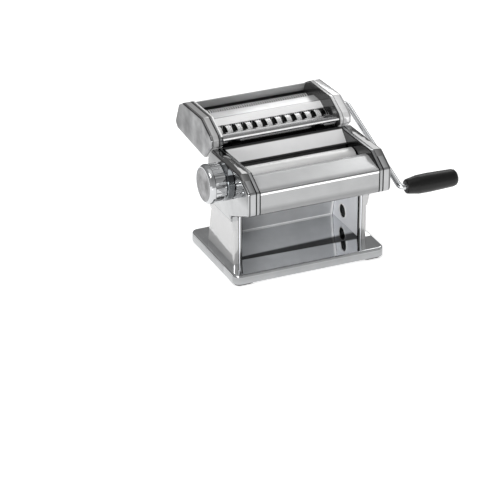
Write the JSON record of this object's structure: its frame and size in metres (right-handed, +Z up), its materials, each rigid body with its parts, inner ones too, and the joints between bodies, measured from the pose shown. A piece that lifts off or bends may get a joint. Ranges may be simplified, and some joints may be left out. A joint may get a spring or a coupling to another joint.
{
  "type": "pasta roller machine",
  "caption": "Hand-cranked pasta roller on a base plate, with two smooth rollers, a thickness knob and a lift-off unit that cuts wide and fine strips.",
  "frame": {"origin": "centre of the base, on the surface that the feet stand on", "axes": "+X along the rollers towards the crank, +Y to the back where the cutter unit hangs, +Z up"},
  "size_m": [0.3135, 0.2189, 0.1702],
  "materials": {
    "polished_cover": "polished",
    "polished_base": "polished",
    "satin_frame": "satin",
    "satin_sheet": "satin",
    "rear_sheet": "satin",
    "cutter_sheet": "satin",
    "cutter_rear_sheet": "satin",
    "comb_steel": "satin",
    "roller_aluminium": "satin",
    "cutter_steel": "machined",
    "shaft_steel": "ground",
    "gear_steel": "machined",
    "fastener_zinc": "zinc plated",
    "bush_brass": "machined",
    "feet_rubber": "matt",
    "regulator_plate": "polished",
    "knob_chrome": "polished",
    "spring_steel": "drawn wire",
    "crank_chrome": "polished",
    "grip_black": "satin black"
  },
  "bodies": {
    "body": {"base_plate": "polished_base", "rubber_feet": "feet_rubber", "base_bolts": "fastener_zinc", "base_nuts": "fastener_zinc", "left_frame": "satin_frame", "right_frame": "satin_frame", "left_side_cover": "polished_cover", "right_side_cover": "polished_cover", "tie_rods": "shaft_steel", "tie_rod_nuts": "fastener_zinc", "front_cover": "satin_sheet", "hopper_plate": "satin_sheet", "rear_cover": "rear_sheet", "rear_panel": "rear_sheet", "rear_scraper": "comb_steel", "attachment_rails": "rear_sheet", "rear_roller_bushes": "bush_brass", "regulator_housing": "regulator_plate"},
    "rear_roller_unit": {"rear_roller": "roller_aluminium", "rear_roller_shaft": "shaft_steel", "rear_roller_gear": "gear_steel"},
    "front_carriage": {"bearing_blocks": "gear_steel", "carriage_bar": "shaft_steel", "front_scraper": "comb_steel", "cam_follower_pin": "shaft_steel"},
    "front_roller_unit": {"front_roller": "roller_aluminium", "front_roller_shaft": "shaft_steel", "front_roller_gear": "gear_steel"},
    "regulator": {"regulator_shaft": "shaft_steel", "regulator_cam": "gear_steel", "regulator_washer": "fastener_zinc", "knob_spring": "spring_steel"},
    "knob": {"thickness_knob": "knob_chrome", "knob_cap": "knob_chrome", "index_pin": "shaft_steel"},
    "cutter_unit": {"cutter_left_frame": "satin_frame", "cutter_right_frame": "satin_frame", "cutter_left_cover": "polished_cover", "cutter_right_cover": "polished_cover", "cutter_rear_plate": "cutter_rear_sheet", "cutter_divider": "cutter_sheet", "cutter_front_plate": "cutter_sheet", "cutter_tie_rods": "shaft_steel", "cutter_nuts": "fastener_zinc", "cutter_bushes": "bush_brass", "mounting_tongues": "cutter_sheet", "wide_combs": "comb_steel", "fine_combs": "comb_steel"},
    "wide_rear_unit": {"wide_rear_roller": "cutter_steel", "wide_rear_gear": "gear_steel"},
    "wide_front_unit": {"wide_front_roller": "cutter_steel", "wide_front_gear": "gear_steel"},
    "fine_front_unit": {"fine_front_roller": "cutter_steel", "fine_front_gear": "gear_steel"},
    "fine_rear_unit": {"fine_rear_roller": "cutter_steel", "fine_rear_gear": "gear_steel"},
    "crank": {"crank_arm": "crank_chrome", "crank_spigot": "crank_chrome", "crank_key": "crank_chrome"},
    "grip": {"crank_grip": "grip_black"}
  },
  "joints": [
    {"name": "rear_roller_spin", "type": "hinge", "parent": "body", "child": "rear_roller_unit", "pos_m": [0, 0.0066, 0.116], "axis": [1, 0, 0], "continuous": true},
    {"name": "thickness_turn", "type": "hinge", "parent": "body", "child": "regulator", "pos_m": [0, -0.023, 0.119], "axis": [1, 0, 0], "range_deg": [0, 270]},
    {"name": "front_carriage_slide", "type": "slide", "parent": "body", "child": "front_carriage", "axis": [0, -1, 0], "range_m": [0, 0.0042]},
    {"name": "front_roller_spin", "type": "hinge", "parent": "front_carriage", "child": "front_roller_unit", "pos_m": [0, -0.023, 0.116], "axis": [1, 0, 0], "continuous": true},
    {"name": "knob_pull", "type": "slide", "parent": "regulator", "child": "knob", "axis": [-1, 0, 0], "range_m": [0, 0.004], "stiffness_N_per_m": 600, "springref_m": -0.004, "deforming": ["knob_spring"]},
    {"name": "cutter_lift", "type": "slide", "parent": "body", "child": "cutter_unit", "axis": [0, 0, 1], "range_m": [0, 0.06]},
    {"name": "wide_rear_spin", "type": "hinge", "parent": "cutter_unit", "child": "wide_rear_unit", "pos_m": [0, 0.058, 0.138], "axis": [1, 0, 0], "continuous": true},
    {"name": "wide_front_spin", "type": "hinge", "parent": "cutter_unit", "child": "wide_front_unit", "pos_m": [0, 0.039, 0.138], "axis": [1, 0, 0], "continuous": true},
    {"name": "fine_front_spin", "type": "hinge", "parent": "cutter_unit", "child": "fine_front_unit", "pos_m": [0, 0.0905, 0.138], "axis": [1, 0, 0], "continuous": true},
    {"name": "fine_rear_spin", "type": "hinge", "parent": "cutter_unit", "child": "fine_rear_unit", "pos_m": [0, 0.1095, 0.138], "axis": [1, 0, 0], "continuous": true},
    {"name": "crank_pull", "type": "slide", "parent": "fine_front_unit", "child": "crank", "axis": [1, 0, 0], "range_m": [0, 0.02]},
    {"name": "grip_spin", "type": "hinge", "parent": "crank", "child": "grip", "pos_m": [0.16, -0.0633, 0.087], "axis": [1, 0, 0], "continuous": true}
  ],
  "couplings": [
    {"joint": "front_carriage_slide", "follows": "thickness_turn", "m_per_rad": 0.00089127},
    {"joint": "front_roller_spin", "follows": "rear_roller_spin", "ratio": -1},
    {"joint": "wide_front_spin", "follows": "wide_rear_spin", "ratio": -1},
    {"joint": "fine_rear_spin", "follows": "fine_front_spin", "ratio": -1}
  ]
}
